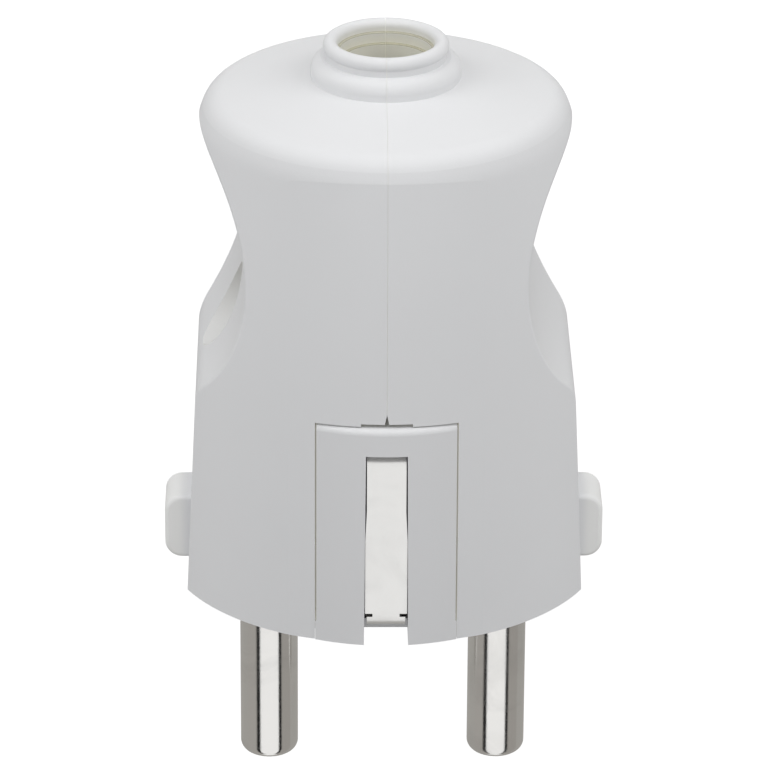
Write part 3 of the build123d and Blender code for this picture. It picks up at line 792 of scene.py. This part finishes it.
def glossy_card(name: str, points: np.ndarray, faces: np.ndarray, shade: Colour) -> bpy.types.Object:
    """Makes a glowing card that only glossy rays meet.

    Args:
        name: the card's name.
        points: its vertices, in metres.
        faces: its quads.
        shade: its brightness, linear.

    Returns:
        The card.
    """
    mesh = bpy.data.meshes.new(name)
    mesh.from_pydata(points.tolist(), [], faces.tolist())
    card = bpy.data.objects.new(name, mesh)
    for kind in ("camera", "diffuse", "transmission", "volume_scatter", "shadow"):
        setattr(card, f"visible_{kind}", False)
    bpy.context.scene.collection.objects.link(card)
    material = bpy.data.materials.new(f"{name}_paper")
    material.use_nodes = True
    sheet = NodeSheet(material.node_tree)
    out = sheet.add("ShaderNodeOutputMaterial")
    glow = sheet.add("ShaderNodeEmission", {"Color": (*shade, 1.0), "Strength": 1.0})
    sheet.join(glow.outputs[0], out.inputs["Surface"])
    mesh.materials.append(material)
    return card


@dataclass
class Studio:
    """Pale floor, even sky, soft lamps and the cards that the metal mirrors.

    Args:
        floor_half_side: half the floor's side, in metres.
        floor_shade: the floor's own colour, grey, linear.
        floor_glow: how much brighter than lit the floor looks to the eye and to mirrors.
        sky_strength: how bright the surroundings are to everything but the eye and mirrors.
        lamps: the soft lamps.
        cards: the round cards.
        floor_card_shade: brightness of the flat card on the floor, linear.
        floor_card_height: how far above the floor it lies, in metres.
    """

    floor_half_side: float = 3.0
    floor_shade: float = 0.8
    floor_glow: float = 0.67
    sky_strength: float = 0.379
    lamps: tuple[SoftLamp, ...] = (
        SoftLamp("cord_end_lamp", (0.0, 1.05, 0.6), 0.7, 3.1, mirrored=False),
        SoftLamp("left_lamp", (-0.85, 0.8, 0.3), 0.7, 4.8, mirrored=False),
        SoftLamp("right_lamp", (0.85, 0.8, 0.3), 0.7, 5.0, mirrored=False),
    )
    cards: tuple[MirrorCard, ...] = (
        MirrorCard("left_dark_card", (-52.0, -37.0), (0.01, 0.01, 0.01)),
        MirrorCard("right_dark_card", (38.0, 50.0), (0.01, 0.01, 0.01)),
        MirrorCard("left_grey_card", (-120.0, -52.0), (0.40, 0.385, 0.365)),
        MirrorCard("right_grey_card", (50.0, 120.0), (0.36, 0.345, 0.325)),
    )
    floor_card_shade: Colour = (0.40, 0.39, 0.37)
    floor_card_height: float = 0.0003

    def build(self, plug: PlugFrame) -> None:
        """Makes the whole studio.

        Args:
            plug: the plug's frame, which the cards stand round.
        """
        self._sky()
        self._floor()
        for lamp in self.lamps:
            lamp.build()
            LOG.info("lamp: %s", lamp.name)
        for card in self.cards:
            card.build(plug)
            LOG.info("card: %s", card.name)
        half = self.floor_half_side
        height = self.floor_card_height
        across, along = np.meshgrid(np.array([-half, half]), np.array([-half, half]), indexing="ij")
        points = np.stack([across, along, np.full_like(across, height)], axis=-1).reshape(-1, 3)
        glossy_card("floor_card", points, np.array([[0, 2, 3, 1]]), self.floor_card_shade)

    @staticmethod
    def _seen(sheet: NodeSheet) -> bpy.types.NodeSocket:
        """Adds a mask that is 1 for camera, glossy and transmission rays.

        Args:
            sheet: the sheet of the material or world.

        Returns:
            The mask's socket.
        """
        path = sheet.add("ShaderNodeLightPath")
        both = sheet.sums("MAXIMUM", path.outputs["Is Camera Ray"], path.outputs["Is Glossy Ray"])
        return sheet.sums("MAXIMUM", both, path.outputs["Is Transmission Ray"])

    def _sky(self) -> None:
        """Even sky: white to the eye and to mirrors, softer as a light."""
        world = bpy.data.worlds.new("studio_sky")
        world.use_nodes = True
        sheet = NodeSheet(world.node_tree)
        out = sheet.add("ShaderNodeOutputWorld")
        soft = sheet.add(
            "ShaderNodeBackground", {"Color": (1.0, 1.0, 1.0, 1.0), "Strength": self.sky_strength}
        )
        white = sheet.add("ShaderNodeBackground", {"Color": (1.0, 1.0, 1.0, 1.0), "Strength": 1.0})
        mix = sheet.add("ShaderNodeMixShader")
        sheet.join(self._seen(sheet), mix.inputs[0])
        sheet.join(soft.outputs[0], mix.inputs[1])
        sheet.join(white.outputs[0], mix.inputs[2])
        sheet.join(mix.outputs[0], out.inputs["Surface"])
        bpy.context.scene.world = world

    def _floor(self) -> None:
        """Flat floor under the plug that clips to white away from the shadow."""
        half = self.floor_half_side
        corners = np.array([[-half, -half, 0], [half, -half, 0], [half, half, 0], [-half, half, 0]])
        mesh = bpy.data.meshes.new("studio_floor")
        mesh.from_pydata(corners.tolist(), [], [(0, 1, 2, 3)])
        floor = bpy.data.objects.new("studio_floor", mesh)
        bpy.context.scene.collection.objects.link(floor)
        material = bpy.data.materials.new("studio_floor_paper")
        material.use_nodes = True
        sheet = NodeSheet(material.node_tree)
        out = sheet.add("ShaderNodeOutputMaterial")
        shade = self.floor_shade
        paper = sheet.add("ShaderNodeBsdfDiffuse", {"Color": (shade, shade, shade, 1.0)})
        glow = sheet.add("ShaderNodeEmission", {"Color": (1.0, 1.0, 1.0, 1.0), "Strength": self.floor_glow})
        lit = sheet.add("ShaderNodeAddShader")
        sheet.join(paper.outputs[0], lit.inputs[0])
        sheet.join(glow.outputs[0], lit.inputs[1])
        mix = sheet.add("ShaderNodeMixShader")
        sheet.join(self._seen(sheet), mix.inputs[0])
        sheet.join(paper.outputs[0], mix.inputs[1])
        sheet.join(lit.outputs[0], mix.inputs[2])
        sheet.join(mix.outputs[0], out.inputs["Surface"])
        mesh.materials.append(material)


def main(loaded: dict[str, Any]) -> None:
    """Builds the scene round the loaded frame.

    Args:
        loaded: what the frame's loader returned.
    """
    logging.basicConfig(level=logging.INFO, format="%(message)s")
    plug = PlugFrame.from_record(loaded["record"])
    groups = EffectGroups()
    for assembly in plug_assemblies():
        assembly.dress(loaded["nodes"], groups, plug)
    Studio().build(plug)
    PhotoCamera().build(plug)
    bpy.context.scene.view_settings.view_transform = "Standard"


if __name__ == "__main__":
    main(frame)
